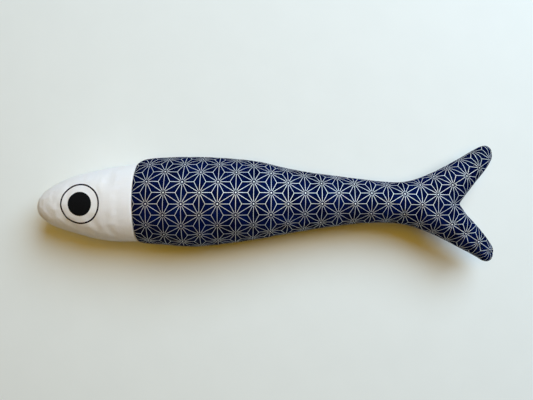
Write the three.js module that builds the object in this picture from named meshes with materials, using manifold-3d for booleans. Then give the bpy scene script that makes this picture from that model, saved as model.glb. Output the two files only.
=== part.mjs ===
// A stuffed fabric fish: a white cotton head, and a body and forked tail in printed cotton.
//
// Units are millimetres. The fish lies on its right side, so its left side faces up (+Z).
// +X runs from the nose to the tail and +Y from the belly edge to the back edge.
// The origin is under the middle of the fish, on the surface that it lies on.
//
// Every solid comes from one soft form. A spine runs along the middle of the fish, and ribs run
// from it to the sewn edge. A rib is a quarter of an ellipse: it starts at full thickness over the
// spine and comes down to the edge. Insetting the form gives the cloth's inner face and the filling.

import * as THREE from 'three';
import { mergeVertices } from 'three/addons/utils/BufferGeometryUtils.js';
import Module from 'manifold-3d';

const wasm = await Module();
wasm.setup();

// ---------------------------------------------------------------------------- driving dimensions

const NOSE_X = -248.6;
const NECK_X = -138;
const NOSE_LENGTH = 20; // the rounded stretch at the nose
const FORK_START_X = 184; // where the spine parts into the two tail lobes
const LOBE_LENGTH = 86; // along a lobe's spine, from there to its tip
const BELLY_FLAT = 2; // how far the fish settles into its own belly where it rests

const CLOTH = 0.8; // cloth with its share of the batting that clings to it
const SEAM_GAP = 1.6; // room between two sewn panels, where the thread runs
const SEAM_ALLOWANCE = 7; // width of the cloth turned in along every seam
const FILLING_GAP = 2.2; // from the outer face of the cloth to the filling
const WAD_GAP = 0.8; // between neighbouring wads of filling
const THREAD_RADIUS = 0.35;
const THREAD_INSET = 1.0;
const THREAD_END_GAP = 4; // between the edge seam's ends and the turning gap
const NECK_THREAD_END = 0.6; // where a neck thread starts, in steps up the first rib

const EYE_X = -193.9;
const EYE_Y = -0.3;
const EYE_RING_RADIUS_X = 21.7; // measured flat, from above
const EYE_RING_RADIUS_Y = 21.2;
const EYE_RING_WIDTH = 1.9;
const PUPIL_RADIUS_X = 13;
const PUPIL_RADIUS_Y = 12.7;
const PATCH_GAP = 0.3; // between the head cloth and what is sewn on it
const PATCH_THICKNESS = 0.45;

const GAP_START_X = -66; // the turning gap in the belly edge
const GAP_END_X = 6;
const LADDER_STITCHES = 14;
const LADDER_INSETS = [0.5, 1.8]; // of the thread's outer and inner turns

const BODY_FILLING_END_X = 62;

// The sewn edge, as [x, y] points. Head points close up towards the nose, which is round.
const HEAD_BACK = [
  [-248.6, -4], [-247.1, 3.7], [-242.9, 10.2], [-234.8, 17.2], [-223.2, 23.6], [-208.6, 29.3],
  [-181, 36.7], [-160, 40.4], [NECK_X, 43],
];
const HEAD_BELLY = [
  [-248.6, -4], [-247.3, -10.7], [-242.8, -16.5], [-234.6, -22.4], [-223.2, -27.3], [-208.6, -32],
  [-181, -39], [-160, -41.3], [NECK_X, -41.4],
];
const HEAD_THICKNESS = [
  [-248.6, 0], [-247.2, 6.5], [-243.2, 12.3], [-235.3, 17.9], [-223.8, 22.7], [-209, 26.7], [-181, 32],
  [-160, 34.6], [NECK_X, 36.2],
];
const BODY_BACK = [
  [NECK_X, 44.6], [-129, 48.4], [-112, 50.2], [-79, 51], [-40, 49.3], [-6, 45.7], [18, 40],
  [42, 35.1], [70, 31.4], [108, 26.4], [144, 23.3], [164, 26.6], [FORK_START_X, 34.4],
];
const BODY_BELLY = [
  [NECK_X, -42.4], [-129, -43.8], [-112, -44.8], [-79, -47], [-40, -43.6], [-6, -38.6], [18, -34.2],
  [42, -30], [70, -25.8], [108, -21.6], [144, -22], [164, -26.2], [FORK_START_X, -34.2],
];
const BODY_THICKNESS = [
  [NECK_X, 37.2], [-129, 39.6], [-112, 41.6], [-79, 43], [-40, 42.5], [-6, 39.4], [18, 35.2],
  [42, 31.2], [70, 27.6], [108, 23.8], [144, 21.6], [164, 20.8], [FORK_START_X, 19.8],
];

// Each tail lobe: its outer edge, spine and inner edge share one list of steps and end in one tip.
const LOBE_THICKNESS = [19.8, 17.6, 15, 12.4, 10, 7, 0];
const UPPER_LOBE = {
  outer: [
    [FORK_START_X, 34.4], [199, 41.9], [215, 51], [230.5, 60], [239.5, 63.8], [246, 61], [248.6, 54.5],
  ],
  spine: [
    [FORK_START_X, 0.1], [196, 12.5], [210, 26.5], [223, 39.5], [234, 49], [242, 53.5], [248.6, 54.5],
  ],
  inner: [
    [212, -0.4], [220.4, 11.1], [230, 23.5], [239, 34.5], [244.6, 42.5], [247.6, 48.6], [248.6, 54.5],
  ],
};
const LOWER_LOBE = {
  outer: [
    [FORK_START_X, -34.2], [199, -41.5], [215, -49.8], [230.5, -58], [240, -63.6], [247, -61.6],
    [250, -54.5],
  ],
  spine: [
    [FORK_START_X, 0.1], [196, -12.5], [210, -26.2], [223, -39], [235, -48.8], [243, -53.2],
    [250, -54.5],
  ],
  inner: [
    [212, -0.4], [220.4, -12.2], [230, -22.4], [239, -33], [245.6, -42], [249, -48.4],
    [250, -54.5],
  ],
};

// How finely the form is cut into flat faces: along the fish, and up each rib.
const FINE = { head: 9, body: 20, lobe: 8, rib: 6 };
const COARSE = { head: 6, body: 14, lobe: 6, rib: 4 };
const EYE_SIDES = 32;
const NECK_THREAD_STEPS = 16;
const EDGE_THREAD_STEPS = 110;
const TINY = 0.05; // the least width and thickness that an inset may leave

const CLOTH_WHITE = new THREE.MeshStandardMaterial({ color: '#ebe9ea', roughness: 0.85, metalness: 0 });
const CLOTH_PRINTED = new THREE.MeshStandardMaterial({ color: '#1d2c63', roughness: 0.8, metalness: 0 });
const EYE_RING = new THREE.MeshStandardMaterial({ color: '#281c2d', roughness: 0.7, metalness: 0 });
const EYE_BLACK = new THREE.MeshStandardMaterial({ color: '#0c0c0c', roughness: 0.8, metalness: 0 });
const THREAD_NAVY = new THREE.MeshStandardMaterial({ color: '#141c44', roughness: 0.6, metalness: 0 });
const FIBRE = new THREE.MeshStandardMaterial({ color: '#f2f1ee', roughness: 0.95, metalness: 0 });

// ---------------------------------------------------------------------------- the soft form

// A smooth y(x) through a list of [x, y] points: cubic pieces with matching slopes.
function curveThrough(points) {
  const slopes = points.map((_, i) => {
    const before = points[Math.max(i - 1, 0)];
    const after = points[Math.min(i + 1, points.length - 1)];
    return (after[1] - before[1]) / (after[0] - before[0]);
  });
  return (x) => {
    let i = 0;
    while (i < points.length - 2 && x > points[i + 1][0]) i += 1;
    const [x0, y0] = points[i];
    const [x1, y1] = points[i + 1];
    const span = x1 - x0;
    const t = (x - x0) / span;
    const rise = (1 + 2 * t) * (1 - t) ** 2 * y0 + t * t * (3 - 2 * t) * y1;
    return rise + span * t * (1 - t) * ((1 - t) * slopes[i] - t * slopes[i + 1]);
  };
}

// The nose is round, so the head's curves run over the square root of the distance behind it.
function noseCurve(points) {
  const curve = curveThrough(points.map(([x, y]) => [Math.sqrt(x - NOSE_X), y]));
  return (x) => curve(Math.sqrt(Math.max(x - NOSE_X, 0)));
}

const head = {
  back: noseCurve(HEAD_BACK),
  belly: noseCurve(HEAD_BELLY),
  thickness: noseCurve(HEAD_THICKNESS),
};
const body = {
  back: curveThrough(BODY_BACK),
  belly: curveThrough(BODY_BELLY),
  thickness: curveThrough(BODY_THICKNESS),
};
const midHeight = Math.max(...BODY_THICKNESS.map((point) => point[1])) - BELLY_FLAT;

// A rib: the point on the sewn edge, the point on the spine and the half thickness there.
function rib(edge, spine, half) {
  return { edge, spine, half };
}

// The ribs on both sides of the head or body at one x, and moved along the fish by a shift.
function crossRibs(form, x, shift = 0) {
  const spine = new THREE.Vector2(x + shift, (form.back(x) + form.belly(x)) / 2);
  const half = form.thickness(x);
  return {
    back: rib(new THREE.Vector2(x + shift, form.back(x)), spine, half),
    belly: rib(new THREE.Vector2(x + shift, form.belly(x)), spine, half),
  };
}

// The ribs of one tail lobe. An inset form stops short of the tip.
function lobeRibs(lobe, count, inset) {
  const line = (points) => new THREE.SplineCurve(points.map(([x, y]) => new THREE.Vector2(x, y)));
  const outer = line(lobe.outer);
  const spine = line(lobe.spine);
  const inner = line(lobe.inner);
  const half = curveThrough(LOBE_THICKNESS.map((value, i) => [i / (LOBE_THICKNESS.length - 1), value]));
  const reach = 1 - inset / LOBE_LENGTH;
  const steps = Array.from({ length: count + 1 }, (_, i) => reach * (1 - (1 - i / count) ** 1.5));
  return {
    outer: steps.map((s) => rib(outer.getPoint(s), spine.getPoint(s), half(s))),
    inner: steps.map((s) => rib(inner.getPoint(s), spine.getPoint(s), half(s))),
  };
}

// The ribs of the whole body and tail, from the back edge at the neck round to the belly edge.
function bodyRibs(steps, inset) {
  const length = FORK_START_X - NECK_X;
  const xs = Array.from({ length: steps.body + 1 }, (_, i) => NECK_X + (length * i) / steps.body);
  const sides = xs.map((x) => crossRibs(body, x));
  const upper = lobeRibs(UPPER_LOBE, steps.lobe, inset);
  const lower = lobeRibs(LOWER_LOBE, steps.lobe, inset);
  return [
    ...sides.map((pair) => pair.back),
    ...upper.outer.slice(1),
    ...upper.inner.slice().reverse(),
    ...lower.inner.slice(1),
    ...lower.outer.slice(1).reverse(),
    ...sides.map((pair) => pair.belly).reverse(),
  ];
}

// The ribs of the head, from the belly edge at the neck round the nose to the back edge. Insetting
// also draws the nose back, less and less over its first stretch.
function headRibs(steps, inset) {
  const length = NECK_X - NOSE_X;
  const xs = Array.from({ length: steps.head + 1 }, (_, i) => NOSE_X + length * (i / steps.head) ** 2);
  const sides = xs.map((x) => {
    const shift = inset * Math.max(1 - (x - NOSE_X) / NOSE_LENGTH, 0) ** 2;
    return crossRibs(head, x, shift);
  });
  return [...sides.map((pair) => pair.belly).reverse(), ...sides.map((pair) => pair.back)];
}

// The point of a rib at an angle: 0 at the sewn edge, +-90 degrees over and under the spine.
function ribPoint({ edge, spine, half }, angle, inset) {
  const reach = edge.distanceTo(spine);
  const width = reach > 0 ? Math.max(reach - inset, TINY) / reach : 0;
  const height = half > 0 ? Math.max(half - inset, TINY) : 0;
  const across = width * Math.cos(angle);
  const x = spine.x + (edge.x - spine.x) * across;
  const y = spine.y + (edge.y - spine.y) * across;
  const z = Math.max(height * Math.sin(angle), inset - midHeight);
  return [x, y, z];
}

// One closed skin over a chain of ribs, with a flat end where the chain is open, at the neck.
function skin(ribs, ribSteps, inset) {
  const angles = Array.from({ length: 2 * ribSteps + 1 }, (_, k) => ((k / ribSteps - 1) * Math.PI) / 2);
  const rows = ribs.map((one) => angles.map((angle) => ribPoint(one, angle, inset)));
  const first = rows[0];
  const last = rows[rows.length - 1];
  const corners = [];
  const quad = (a, b, c, d) => corners.push(a, b, c, a, c, d);
  for (let k = 0; k < 2 * ribSteps; k += 1) {
    for (let i = 0; i < rows.length - 1; i += 1) {
      quad(rows[i][k], rows[i][k + 1], rows[i + 1][k + 1], rows[i + 1][k]);
    }
    quad(first[k + 1], first[k], last[k], last[k + 1]);
  }
  return solid(closedGeometry(corners));
}

// ---------------------------------------------------------------------------- solids and cuts

// Merges shared corners and drops the faces that have shrunk to a line.
function closedGeometry(corners) {
  const loose = new THREE.BufferGeometry();
  loose.setAttribute('position', new THREE.Float32BufferAttribute(corners.flat(), 3));
  const merged = mergeVertices(loose, 1e-3);
  const index = merged.getIndex().array;
  const kept = [];
  for (let i = 0; i < index.length; i += 3) {
    const [a, b, c] = [index[i], index[i + 1], index[i + 2]];
    if (a !== b && b !== c && c !== a) kept.push(a, b, c);
  }
  merged.setIndex(kept);
  return merged;
}

function solid(geometry) {
  const bare = geometry.clone();
  bare.deleteAttribute('normal');
  bare.deleteAttribute('uv');
  const merged = mergeVertices(bare, 1e-4);
  return new wasm.Manifold(new wasm.Mesh({
    numProp: 3,
    vertProperties: new Float32Array(merged.getAttribute('position').array),
    triVerts: new Uint32Array(merged.getIndex().array),
  }));
}

function block(low, high) {
  const size = high.map((value, i) => value - low[i]);
  const geometry = new THREE.BoxGeometry(...size);
  geometry.translate(...low.map((value, i) => value + size[i] / 2));
  return solid(geometry);
}

function geometryOf(manifold) {
  const mesh = manifold.getMesh();
  const geometry = new THREE.BufferGeometry();
  geometry.setAttribute('position', new THREE.Float32BufferAttribute(mesh.vertProperties, 3));
  geometry.setIndex(Array.from(mesh.triVerts));
  geometry.computeVertexNormals();
  return geometry;
}

const FAR = 400;
const LEFT = 1; // the side that faces up
const RIGHT = -1; // the side that the fish lies on

// Everything from one height up (side LEFT) or down (side RIGHT).
function halfSpace(side, height) {
  const low = side === LEFT ? height : -FAR;
  const high = side === LEFT ? FAR : -height;
  return block([-FAR, -FAR, low], [FAR, FAR, high]);
}

function between(x0, x1) {
  return block([x0, -FAR, -FAR], [x1, FAR, FAR]);
}

const headForm = (inset, steps = FINE) => skin(headRibs(steps, inset), steps.rib, inset);
const bodyForm = (inset, steps = FINE) => skin(bodyRibs(steps, inset), steps.rib, inset);

// ---------------------------------------------------------------------------- cloth panels

// One cloth panel: a thin half shell with its seam allowance turned in along every seam.
function panel(form, side, x0, x1) {
  const seam = SEAM_GAP / 2;
  const outside = form(0).intersect(halfSpace(side, seam)).intersect(between(x0, x1));
  const room = form(CLOTH)
    .intersect(halfSpace(side, seam + CLOTH))
    .intersect(between(x0 + CLOTH, x1 - CLOTH));
  return geometryOf(outside.subtract(room).subtract(form(SEAM_ALLOWANCE)));
}

const headPanel = (side) => panel(headForm, side, -FAR, NECK_X - SEAM_GAP / 2);
const bodyPanel = (side) => panel(bodyForm, side, NECK_X + SEAM_GAP / 2, FAR);

// ---------------------------------------------------------------------------- eyes

// An upright oval column through the eye, on one side of the fish.
function ovalColumn(side, radiusX, radiusY) {
  const oval = new THREE.CylinderGeometry(1, 1, FAR, EYE_SIDES);
  oval.rotateX(Math.PI / 2);
  oval.scale(radiusX, radiusY, 1);
  oval.translate(EYE_X, EYE_Y, (side * FAR) / 2);
  return solid(oval);
}

// A thin patch that follows the head cloth wherever the column meets it.
function eyePatch(column) {
  const layer = headForm(-PATCH_GAP - PATCH_THICKNESS).subtract(headForm(-PATCH_GAP));
  return geometryOf(layer.intersect(column));
}

function pupil(side) {
  return eyePatch(ovalColumn(side, PUPIL_RADIUS_X, PUPIL_RADIUS_Y));
}

function eyeRing(side) {
  const outside = ovalColumn(side, EYE_RING_RADIUS_X, EYE_RING_RADIUS_Y);
  const inside = ovalColumn(side, EYE_RING_RADIUS_X - EYE_RING_WIDTH, EYE_RING_RADIUS_Y - EYE_RING_WIDTH);
  return eyePatch(outside.subtract(inside));
}

// ---------------------------------------------------------------------------- threads

// Leaves out a point that repeats the one before it.
function distinct(points) {
  return points.filter((p, i) => i === 0 || Math.hypot(...p.map((v, k) => v - points[i - 1][k])) > TINY);
}

function thread(points, steps) {
  const path = new THREE.CatmullRomCurve3(points.map((p) => new THREE.Vector3(...p)));
  const section = new THREE.Shape();
  section.absarc(0, 0, THREAD_RADIUS, 0, 2 * Math.PI);
  return new THREE.ExtrudeGeometry(section, {
    steps,
    curveSegments: 3,
    bevelEnabled: false,
    extrudePath: path,
  });
}

// The edge seam runs from one end of the turning gap round the tail and the nose to the other end.
function edgeSeamThread() {
  const ribs = bodyRibs(FINE, 0);
  const beforeGap = ribs.filter(({ edge }) => edge.y < 0 && edge.x < GAP_START_X - THREAD_END_GAP);
  const afterGap = ribs.filter(({ edge }) => edge.y > 0 || edge.x > GAP_END_X + THREAD_END_GAP);
  const round = [...beforeGap, ...headRibs(FINE, THREAD_INSET), ...afterGap];
  const points = round.map((one) => ribPoint(one, 0, THREAD_INSET));
  return thread(distinct(points), EDGE_THREAD_STEPS);
}

// A neck seam runs over one side of the neck, from the back edge to the belly edge.
function neckSeamThread(side) {
  const { back, belly } = crossRibs(head, NECK_X);
  const step = (side * Math.PI) / (2 * FINE.rib);
  const angles = Array.from({ length: FINE.rib }, (_, k) => (k + NECK_THREAD_END) * step);
  const points = [
    ...angles.map((angle) => ribPoint(back, angle, THREAD_INSET)),
    ribPoint(back, (side * Math.PI) / 2, THREAD_INSET),
    ...angles.map((angle) => ribPoint(belly, angle, THREAD_INSET)).reverse(),
  ];
  return thread(points, NECK_THREAD_STEPS);
}

// Ladder stitches: one thread that runs along the turning gap, in and out of the folded edges.
function closingThread() {
  const points = Array.from({ length: 2 * LADDER_STITCHES + 1 }, (_, i) => {
    const x = GAP_START_X + ((GAP_END_X - GAP_START_X) * i) / (2 * LADDER_STITCHES);
    return ribPoint(crossRibs(body, x).belly, 0, LADDER_INSETS[i % 2]);
  });
  return thread(points, points.length - 1);
}

// ---------------------------------------------------------------------------- filling

// The filling reaches close to the cloth, and stands back from the turned-in seam allowances.
function filling(form, low, high) {
  const slab = SEAM_GAP / 2 + CLOTH + WAD_GAP;
  const neck = NECK_X - SEAM_GAP / 2 - CLOTH - WAD_GAP;
  const afterNeck = NECK_X + SEAM_GAP / 2 + CLOTH + WAD_GAP;
  const wide = form(FILLING_GAP, COARSE)
    .subtract(block([-FAR, -FAR, -slab], [FAR, FAR, slab]))
    .subtract(between(neck, afterNeck));
  const core = form(SEAM_ALLOWANCE + FILLING_GAP - CLOTH, COARSE);
  return geometryOf(wide.add(core).intersect(block(low, high)));
}

const MID_NECK = [NECK_X - WAD_GAP / 2, NECK_X + WAD_GAP / 2];
const STEM_START_X = BODY_FILLING_END_X + WAD_GAP;
const LOBE_START_X = FORK_START_X + WAD_GAP;

// ---------------------------------------------------------------------------- the fish

const fish = new THREE.Group();
fish.position.z = midHeight;

function add(name, geometry, material) {
  const mesh = new THREE.Mesh(geometry, material);
  mesh.name = name;
  fish.add(mesh);
}

for (const [name, side] of [['left', LEFT], ['right', RIGHT]]) {
  add(`head_panel_${name}`, headPanel(side), CLOTH_WHITE);
  add(`body_panel_${name}`, bodyPanel(side), CLOTH_PRINTED);
  add(`eye_ring_${name}`, eyeRing(side), EYE_RING);
  add(`pupil_${name}`, pupil(side), EYE_BLACK);
  add(`neck_seam_thread_${name}`, neckSeamThread(side), THREAD_NAVY);
}

add('edge_seam_thread', edgeSeamThread(), THREAD_NAVY);
add('closing_thread', closingThread(), THREAD_NAVY);

add('head_filling', filling(headForm, [-FAR, -FAR, -FAR], [MID_NECK[0], FAR, FAR]), FIBRE);
add('body_filling', filling(bodyForm, [MID_NECK[1], -FAR, -FAR], [BODY_FILLING_END_X, FAR, FAR]), FIBRE);
add('tail_stem_filling', filling(bodyForm, [STEM_START_X, -FAR, -FAR], [FORK_START_X, FAR, FAR]), FIBRE);
add('upper_lobe_filling', filling(bodyForm, [LOBE_START_X, WAD_GAP, -FAR], [FAR, FAR, FAR]), FIBRE);
add('lower_lobe_filling', filling(bodyForm, [LOBE_START_X, -FAR, -FAR], [FAR, -WAD_GAP / 2, FAR]), FIBRE);

export default fish;
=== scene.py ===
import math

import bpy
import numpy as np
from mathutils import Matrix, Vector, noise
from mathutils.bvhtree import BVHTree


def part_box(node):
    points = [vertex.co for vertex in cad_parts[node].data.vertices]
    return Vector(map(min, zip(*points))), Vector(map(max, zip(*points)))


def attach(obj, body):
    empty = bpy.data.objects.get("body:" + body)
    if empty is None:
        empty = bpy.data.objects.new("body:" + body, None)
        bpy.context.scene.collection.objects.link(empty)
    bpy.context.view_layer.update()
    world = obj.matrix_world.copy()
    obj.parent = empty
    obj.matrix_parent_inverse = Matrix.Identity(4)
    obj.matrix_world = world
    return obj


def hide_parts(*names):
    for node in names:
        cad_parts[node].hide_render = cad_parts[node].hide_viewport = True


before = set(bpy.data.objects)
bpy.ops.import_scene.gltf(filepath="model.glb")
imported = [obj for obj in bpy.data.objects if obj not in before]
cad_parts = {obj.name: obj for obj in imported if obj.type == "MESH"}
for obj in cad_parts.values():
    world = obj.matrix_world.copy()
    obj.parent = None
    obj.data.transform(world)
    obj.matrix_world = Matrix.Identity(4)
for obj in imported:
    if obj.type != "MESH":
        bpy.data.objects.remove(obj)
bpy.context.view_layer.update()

# A stuffed fabric fish, lying on its right side on a pale floor and seen from straight above.
#
# Shapes are worked out in millimetres and turned into metres when a mesh is made. The cloth panels
# are one soft form: ribs run from a spine along the middle of the fish out to the sewn edge.

MM = 0.001

# ------------------------------ places in the frame

LEFT, RIGHT = 1, -1
SIDE_NAMES = {LEFT: "left", RIGHT: "right"}


def box_mm(node):
    """A node's lowest and highest corners in millimetres."""
    return [np.array(corner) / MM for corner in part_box(node)]


def oval(node):
    """The middle and the two radii of a node seen from above."""
    low, high = box_mm(node)
    return (low + high)[:2] / 2, (high - low)[:2] / 2


FISH_LENGTH = box_mm("body_panel_left")[1][0] - box_mm("head_panel_left")[0][0]
MID_Z = (box_mm("body_panel_left")[0][2] + box_mm("body_panel_right")[1][2]) / 2

# ------------------------------ camera

CAMERA_X, CAMERA_Y = 1.4, 3.8
CAMERA_HEIGHT = 600  # above the fish's mid-plane
PICTURE_WIDTH = FISH_LENGTH * 1.173  # at the height of the mid-plane
SENSOR = 36
CLIP_END = 50  # metres


def make_camera():
    data = bpy.data.cameras.new("camera")
    data.sensor_width = SENSOR
    data.lens = SENSOR * CAMERA_HEIGHT / PICTURE_WIDTH
    data.clip_end = CLIP_END
    camera = bpy.data.objects.new("camera", data)
    camera.location = (CAMERA_X * MM, CAMERA_Y * MM, (MID_Z + CAMERA_HEIGHT) * MM)
    bpy.context.scene.collection.objects.link(camera)
    bpy.context.scene.camera = camera


make_camera()

# ------------------------------ the fish's outline

NOSE_X = -248.6
NECK_X = -138
FORK_START_X = 184

# Along the fish: the y of its back edge and of its belly edge, and half its thickness.
HEAD_BACK = [
    (-248.6, -4), (-247.1, 3.7), (-242.9, 10.2), (-234.8, 17.2), (-223.2, 23.6), (-208.6, 29.3),
    (-181, 36.7), (-160, 40.4), (NECK_X, 43),
]
HEAD_BELLY = [
    (-248.6, -4), (-247.3, -10.7), (-242.8, -16.5), (-234.6, -22.4), (-223.2, -27.3), (-208.6, -32),
    (-181, -39), (-160, -41.3), (NECK_X, -41.4),
]
HEAD_THICKNESS = [
    (-248.6, 0), (-247.2, 6.5), (-243.2, 12.3), (-235.3, 17.9), (-223.8, 22.7), (-209, 26.7),
    (-181, 32), (-160, 34.6), (NECK_X, 36.2),
]
BODY_BACK = [
    (NECK_X, 44.6), (-129, 48.4), (-112, 50.2), (-79, 51), (-40, 49.3), (-6, 45.7), (18, 40),
    (42, 35.1), (70, 31.4), (108, 26.4), (144, 23.3), (164, 26.6), (FORK_START_X, 34.4),
]
BODY_BELLY = [
    (NECK_X, -42.4), (-129, -43.8), (-112, -44.8), (-79, -47), (-40, -43.6), (-6, -38.6), (18, -34.2),
    (42, -30), (70, -25.8), (108, -21.6), (144, -22), (164, -26.2), (FORK_START_X, -34.2),
]
BODY_THICKNESS = [
    (NECK_X, 37.2), (-129, 39.6), (-112, 41.6), (-79, 43), (-40, 42.5), (-6, 39.4), (18, 35.2),
    (42, 31.2), (70, 27.6), (108, 23.8), (144, 21.6), (164, 20.8), (FORK_START_X, 19.8),
]

# Each tail lobe: half its thickness from the fork to the tip, and its outer edge, spine and inner edge.
LOBE_THICKNESS = [19.8, 17.6, 15, 12.4, 10, 7, 0]
UPPER_LOBE = {
    "outer": [
        (FORK_START_X, 34.4), (199, 41.9), (215, 51), (230.5, 60), (239.5, 63.8), (246, 61), (248.6, 54.5),
    ],
    "spine": [
        (FORK_START_X, 0.1), (196, 12.5), (210, 26.5), (223, 39.5), (234, 49), (242, 53.5), (248.6, 54.5),
    ],
    "inner": [
        (212, -0.4), (220.4, 11.1), (230, 23.5), (239, 34.5), (244.6, 42.5), (247.6, 48.6), (248.6, 54.5),
    ],
}
LOWER_LOBE = {
    "outer": [
        (FORK_START_X, -34.2), (199, -41.5), (215, -49.8), (230.5, -58), (240, -63.6), (247, -61.6),
        (250, -54.5),
    ],
    "spine": [
        (FORK_START_X, 0.1), (196, -12.5), (210, -26.2), (223, -39), (235, -48.8), (243, -53.2),
        (250, -54.5),
    ],
    "inner": [
        (212, -0.4), (220.4, -12.2), (230, -22.4), (239, -33), (245.6, -42), (249, -48.4),
        (250, -54.5),
    ],
}


def curve_through(points):
    """A smooth y(x) through points: cubic pieces with matching slopes."""
    x, y = np.array(points, float).T
    slope = np.empty_like(y)
    slope[1:-1] = (y[2:] - y[:-2]) / (x[2:] - x[:-2])
    slope[0] = (y[1] - y[0]) / (x[1] - x[0])
    slope[-1] = (y[-1] - y[-2]) / (x[-1] - x[-2])

    def curve(at):
        at = np.asarray(at, float)
        i = np.clip(np.searchsorted(x, at) - 1, 0, len(x) - 2)
        span = x[i + 1] - x[i]
        t = (at - x[i]) / span
        rise = (1 + 2 * t) * (1 - t) ** 2 * y[i] + t * t * (3 - 2 * t) * y[i + 1]
        return rise + span * t * (1 - t) * ((1 - t) * slope[i] - t * slope[i + 1])

    return curve


def nose_curve(points):
    """The same over the square root of the distance behind the nose, which makes the nose round."""
    curve = curve_through([(math.sqrt(x - NOSE_X), y) for x, y in points])
    return lambda at: curve(np.sqrt(np.maximum(np.asarray(at, float) - NOSE_X, 0)))


def spline(points, at):
    """Points of a Catmull-Rom curve through points, for at from 0 to 1."""
    p = np.array(points, float)
    last = len(p) - 1
    place = np.asarray(at, float) * last
    i = np.clip(place.astype(int), 0, last - 1)
    t = (place - i)[:, None]
    before, a, b, after = p[np.maximum(i - 1, 0)], p[i], p[i + 1], p[np.minimum(i + 2, last)]
    leave, arrive = (b - before) / 2, (after - a) / 2
    return (
        a * (1 + 2 * t) * (1 - t) ** 2 + b * t * t * (3 - 2 * t)
        + leave * t * (1 - t) ** 2 - arrive * t * t * (1 - t)
    )


HEAD = (nose_curve(HEAD_BACK), nose_curve(HEAD_BELLY), nose_curve(HEAD_THICKNESS))
BODY = (curve_through(BODY_BACK), curve_through(BODY_BELLY), curve_through(BODY_THICKNESS))

# ------------------------------ ribs

SEAM_STEPS = np.array([0, 0.6, 1.3, 2.2, 3.4, 5.0, 7.0])  # points crowd together at a seam
BODY_RIB_STEP = 3.6
HEAD_RIB_STEP = 2.8
NOSE_CROWDING = 1.6  # how strongly the ribs crowd together towards the nose
NOSE_SKIP = 0.01  # from the very tip of the nose to the first rib
LOBE_RIBS = 26
TIP_CROWDING = 1.4
TIP_END = 0.997  # how far along a lobe its last rib stands
BACKWARDS = slice(None, None, -1)


class Ribs:
    """Ribs in order round one panel. Each runs from a point of the sewn edge to a spine point."""

    def __init__(self, edge, spine, half):
        self.edge, self.spine, self.half = edge, spine, half

    def __getitem__(self, some):
        return Ribs(self.edge[some], self.spine[some], self.half[some])

    def __add__(self, after):
        pairs = ((self.edge, after.edge), (self.spine, after.spine), (self.half, after.half))
        return Ribs(*(np.concatenate(pair) for pair in pairs))


def cross_ribs(form, xs):
    """The ribs to the back edge and to the belly edge at each x."""
    back, belly, half = (curve(xs) for curve in form)
    middle = np.stack([xs, (back + belly) / 2], 1)
    return Ribs(np.stack([xs, back], 1), middle, half), Ribs(np.stack([xs, belly], 1), middle, half)


def lobe_ribs(lobe):
    """The ribs to the outer and inner edge of a tail lobe, from the fork out to its tip."""
    steps = TIP_END * (1 - (1 - np.arange(LOBE_RIBS + 1) / LOBE_RIBS) ** TIP_CROWDING)
    half = curve_through(list(zip(np.linspace(0, 1, len(LOBE_THICKNESS)), LOBE_THICKNESS)))(steps)
    spine = spline(lobe["spine"], steps)
    return [Ribs(spline(lobe[edge], steps), spine, half) for edge in ("outer", "inner")]


def body_ribs():
    """Round the body and tail, from the back edge at the neck to the belly edge at the neck."""
    near, length = SEAM_STEPS[-1], FORK_START_X - NECK_X
    far = np.linspace(near, length, round((length - near) / BODY_RIB_STEP))
    to_back, to_belly = cross_ribs(BODY, NECK_X + np.concatenate([SEAM_STEPS, far[1:]]))
    upper_outer, upper_inner = lobe_ribs(UPPER_LOBE)
    lower_outer, lower_inner = lobe_ribs(LOWER_LOBE)
    upper = upper_outer[1:] + upper_inner[BACKWARDS]
    lower = lower_inner[1:] + lower_outer[1:][BACKWARDS]
    return to_back + upper + lower + to_belly[BACKWARDS]


def head_ribs():
    """Round the head, from the belly edge at the neck, by the nose, to the back edge at the neck."""
    near, length = SEAM_STEPS[-1], NECK_X - NOSE_X
    count = round(length / HEAD_RIB_STEP)
    far = NOSE_X + NOSE_SKIP + (length - near) * (np.arange(count) / count) ** NOSE_CROWDING
    to_back, to_belly = cross_ribs(HEAD, np.concatenate([far, NECK_X - SEAM_STEPS[BACKWARDS]]))
    return to_belly[BACKWARDS] + to_back


# ------------------------------ cloth panels as grids

# A grid has a row of points for each rib. Each point holds its place, measured up from the
# mid-plane; its place on the flat uncut cloth; how far it is from the sewn edge and from the neck
# seam, below 0 on the turned-in allowance; and how far round the edge its rib stands.
PLACE, FLAT, SEAM, NECK, ALONG = slice(0, 3), slice(3, 5), 5, 6, 7
COLUMNS = 8

RIB_POINTS = 22
FULL_RIB = 22  # a rib shorter than this has its seam steps shortened in proportion
CURVE_STEPS = 90
HALF_GAP = 0.25  # from a seam's middle to each panel
GAP_REACH = 3
SEAM_DIP = 1.1  # how far the cloth is drawn in at the long seam
NECK_DIP = 0.7  # and at the neck seam
DIP_REACH = 1.3
ALLOWANCE = np.array([5.5, 3.4, 1.6])  # steps across the turned-in seam allowance


def unit(vectors):
    return vectors / np.maximum(np.linalg.norm(vectors, axis=-1, keepdims=True), 1e-6)


def distances_along(path):
    return np.concatenate([[0], np.cumsum(np.linalg.norm(np.diff(path, axis=0), axis=1))])


def rib_curve(edge, spine, half):
    """Points up a quarter ellipse, and how far each is along the cloth from the sewn edge."""
    angle = np.linspace(0, math.pi / 2, CURVE_STEPS)
    fine = np.column_stack([math.dist(edge, spine) * np.cos(angle), half * np.sin(angle)])
    along = distances_along(fine)
    near = SEAM_STEPS * min(1, along[-1] / FULL_RIB)
    steps = np.concatenate([near, np.linspace(near[-1], along[-1], RIB_POINTS - len(near) + 1)[1:]])
    angle = np.interp(steps, along, angle)
    across = np.cos(angle)
    across[-1] = 0
    return np.column_stack([spine + (edge - spine) * across[:, None], half * np.sin(angle)]), steps


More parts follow.
